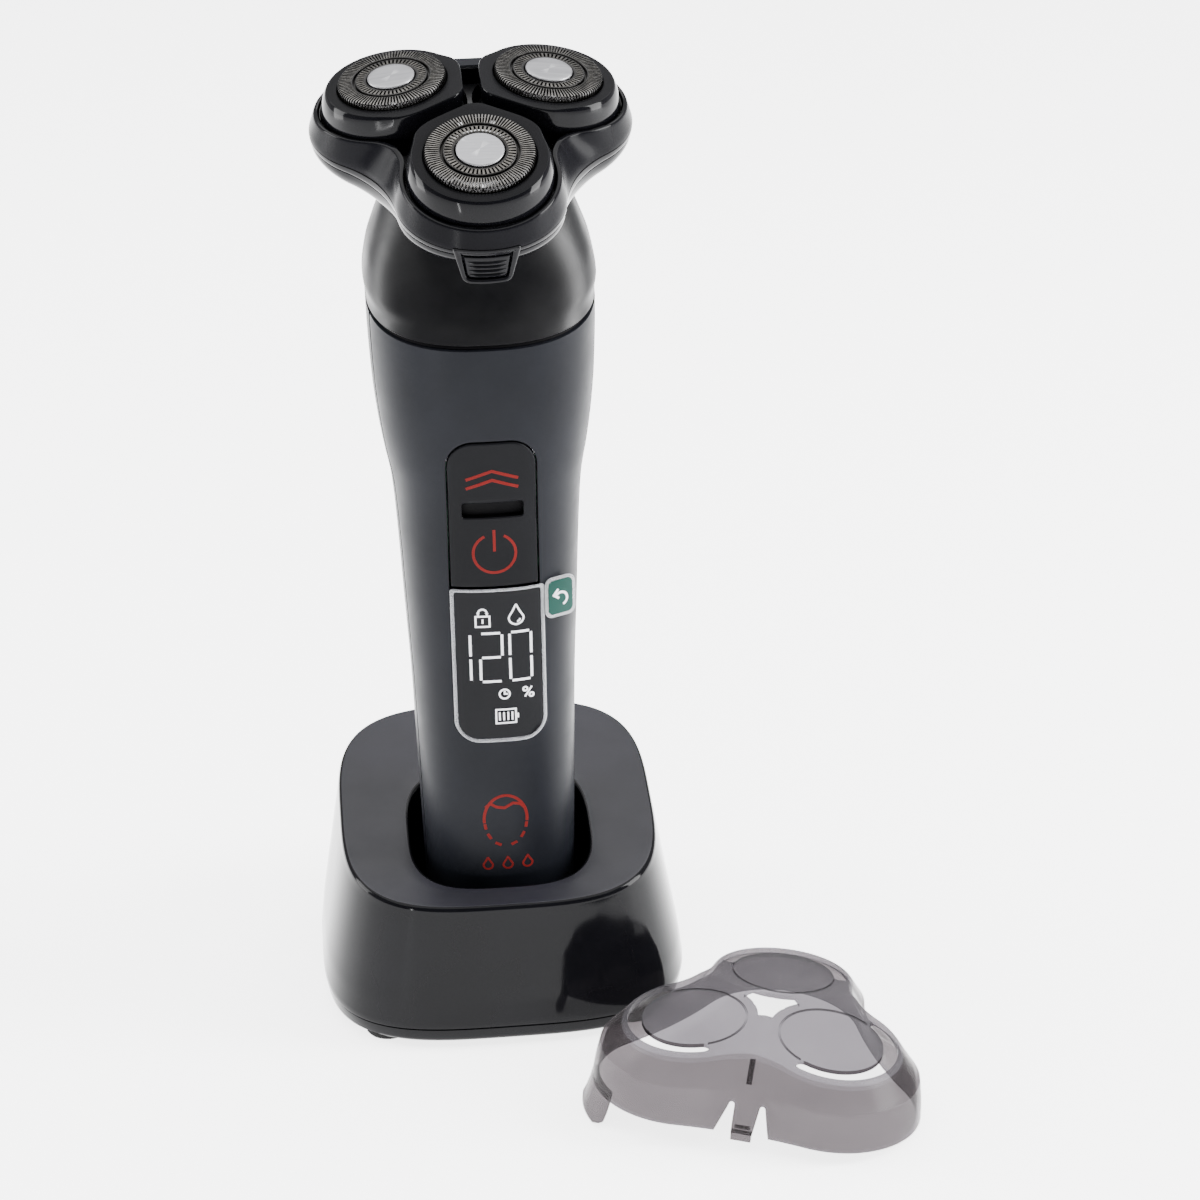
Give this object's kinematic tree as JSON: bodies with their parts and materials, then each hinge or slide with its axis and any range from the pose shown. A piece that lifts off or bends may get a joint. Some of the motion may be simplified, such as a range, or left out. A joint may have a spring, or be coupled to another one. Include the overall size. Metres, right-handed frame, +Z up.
{
  "type": "electric shaver",
  "caption": "Rotary electric shaver with three floating round cutters and a hinged head, standing in a wedge-topped charging stand, with a three-lobed protective cap beside it.",
  "frame": {"origin": "middle of the stand's footprint, in the plane of its feet", "axes": "+Z up, -Y the front with the keypad and display, +X to the right seen from the front"},
  "size_m": [0.1141, 0.1267, 0.1935],
  "materials": {
    "black_gloss": "gloss",
    "black_satin": "satin",
    "black_matte": "matt",
    "pod_grey": "satin",
    "guard_steel": "brushed",
    "bright_steel": "satin",
    "steel": "satin",
    "rubber": "matt",
    "board": "satin",
    "parts": "satin",
    "contacts": "bright",
    "structure": "matt",
    "cell": "satin",
    "gear": "satin",
    "film": "gloss",
    "tab_green": "gloss",
    "smoke": "gloss"
  },
  "bodies": {
    "stand": {"stand_feet": "rubber", "stand_base_plate": "black_matte", "stand_shell": "black_gloss", "stand_screws": "steel", "stand_board": "board", "stand_board_parts": "parts", "stand_inlet": "steel", "stand_pins": "contacts"},
    "handle": {"bottom_cap": "black_satin", "charge_contacts": "contacts", "front_shell": "black_satin", "rear_shell": "black_satin", "chassis": "structure", "battery": "cell", "battery_tabs": "steel", "main_board": "board", "board_screws": "steel", "display_module": "parts", "tact_switches": "parts", "display_window": "black_gloss", "display_film": "film", "film_tab": "tab_green", "shoulder_collar": "black_matte", "collar_seal": "rubber", "motor_mount": "structure", "motor_can": "steel", "motor_cap": "parts"},
    "keypad": {"keypad": "black_satin"},
    "rotor": {"motor_coupling": "steel"},
    "head": {"head_seal": "rubber", "head_base": "black_gloss", "gear_cover": "structure", "hinge_pin": "steel"},
    "sun": {"sun_gear": "gear"},
    "lid": {"cutter_frame": "black_satin", "cutter_deck": "black_matte", "latch_bezel": "black_satin"},
    "button": {"release_button": "black_satin"},
    "cap": {"protective_cap": "smoke"},
    "planet_1": {"planet_gear_1": "gear"},
    "pod_1": {"pod_1": "pod_grey", "guard_1": "guard_steel", "guard_cap_1": "bright_steel"},
    "cutter_1": {"cutter_1": "steel"},
    "planet_2": {"planet_gear_2": "gear"},
    "pod_2": {"pod_2": "pod_grey", "guard_2": "guard_steel", "guard_cap_2": "bright_steel"},
    "cutter_2": {"cutter_2": "steel"},
    "planet_3": {"planet_gear_3": "gear"},
    "pod_3": {"pod_3": "pod_grey", "guard_3": "guard_steel", "guard_cap_3": "bright_steel"},
    "cutter_3": {"cutter_3": "steel"}
  },
  "joints": [
    {"name": "shaver_lift", "type": "slide", "parent": "stand", "child": "handle", "axis": [0, 0, 1], "range_m": [0, 0.06]},
    {"name": "cap_lift", "type": "slide", "parent": "stand", "child": "cap", "axis": [0, 0, 1], "range_m": [0, 0.1]},
    {"name": "keypad_rock", "type": "hinge", "parent": "handle", "child": "keypad", "pos_m": [0, -0.0243, 0.1126], "axis": [1, 0, 0], "range_deg": [-1.2, 1.2], "stiffness_Nm_per_rad": 0.4},
    {"name": "motor_spin", "type": "hinge", "parent": "handle", "child": "rotor", "pos_m": [0, -0.00168, 0.15976], "axis": [0, -0.2974, 0.9548], "continuous": true},
    {"name": "head_pull", "type": "slide", "parent": "handle", "child": "head", "axis": [0, -0.2974, 0.9548], "range_m": [0, 0.025]},
    {"name": "sun_spin", "type": "hinge", "parent": "head", "child": "sun", "pos_m": [0, -0.00614, 0.17408], "axis": [0, -0.2974, 0.9548], "continuous": true},
    {"name": "planet_spin_1", "type": "hinge", "parent": "head", "child": "planet_1", "pos_m": [0, -0.02178, 0.16983], "axis": [0, -0.2974, 0.9548], "continuous": true},
    {"name": "planet_spin_2", "type": "hinge", "parent": "head", "child": "planet_2", "pos_m": [-0.01403, 0.00142, 0.17706], "axis": [0, -0.2974, 0.9548], "continuous": true},
    {"name": "planet_spin_3", "type": "hinge", "parent": "head", "child": "planet_3", "pos_m": [0.01403, 0.00142, 0.17706], "axis": [0, -0.2974, 0.9548], "continuous": true},
    {"name": "head_open", "type": "hinge", "parent": "head", "child": "lid", "pos_m": [0, 0.01722, 0.1845], "axis": [-1, 0, 0], "range_deg": [0, 100]},
    {"name": "button_press", "type": "slide", "parent": "lid", "child": "button", "axis": [0, 0.9548, 0.2974], "range_m": [0, 0.0008], "stiffness_N_per_m": 400},
    {"name": "pod_float_1", "type": "slide", "parent": "lid", "child": "pod_1", "axis": [0, -0.4274, 0.9041], "range_m": [-0.0012, 0], "stiffness_N_per_m": 600, "springref_m": 0.0004},
    {"name": "pod_float_2", "type": "slide", "parent": "lid", "child": "pod_2", "axis": [-0.1205, -0.228, 0.9662], "range_m": [-0.0012, 0], "stiffness_N_per_m": 600, "springref_m": 0.0004},
    {"name": "pod_float_3", "type": "slide", "parent": "lid", "child": "pod_3", "axis": [0.1205, -0.228, 0.9662], "range_m": [-0.0012, 0], "stiffness_N_per_m": 600, "springref_m": 0.0004},
    {"name": "cutter_spin_1", "type": "hinge", "parent": "pod_1", "child": "cutter_1", "pos_m": [0, -0.02693, 0.18332], "axis": [0, -0.4274, 0.9041], "continuous": true},
    {"name": "cutter_spin_2", "type": "hinge", "parent": "pod_2", "child": "cutter_2", "pos_m": [-0.01481, -0.00244, 0.19094], "axis": [-0.1205, -0.228, 0.9662], "continuous": true},
    {"name": "cutter_spin_3", "type": "hinge", "parent": "pod_3", "child": "cutter_3", "pos_m": [0.01481, -0.00244, 0.19094], "axis": [0.1205, -0.228, 0.9662], "continuous": true}
  ],
  "couplings": [
    {"joint": "sun_spin", "follows": "motor_spin", "ratio": 1},
    {"joint": "planet_spin_1", "follows": "motor_spin", "ratio": -1.25},
    {"joint": "planet_spin_2", "follows": "motor_spin", "ratio": -1.25},
    {"joint": "planet_spin_3", "follows": "motor_spin", "ratio": -1.25},
    {"joint": "cutter_spin_1", "follows": "motor_spin", "ratio": -1.25},
    {"joint": "cutter_spin_2", "follows": "motor_spin", "ratio": -1.25},
    {"joint": "cutter_spin_3", "follows": "motor_spin", "ratio": -1.25}
  ]
}
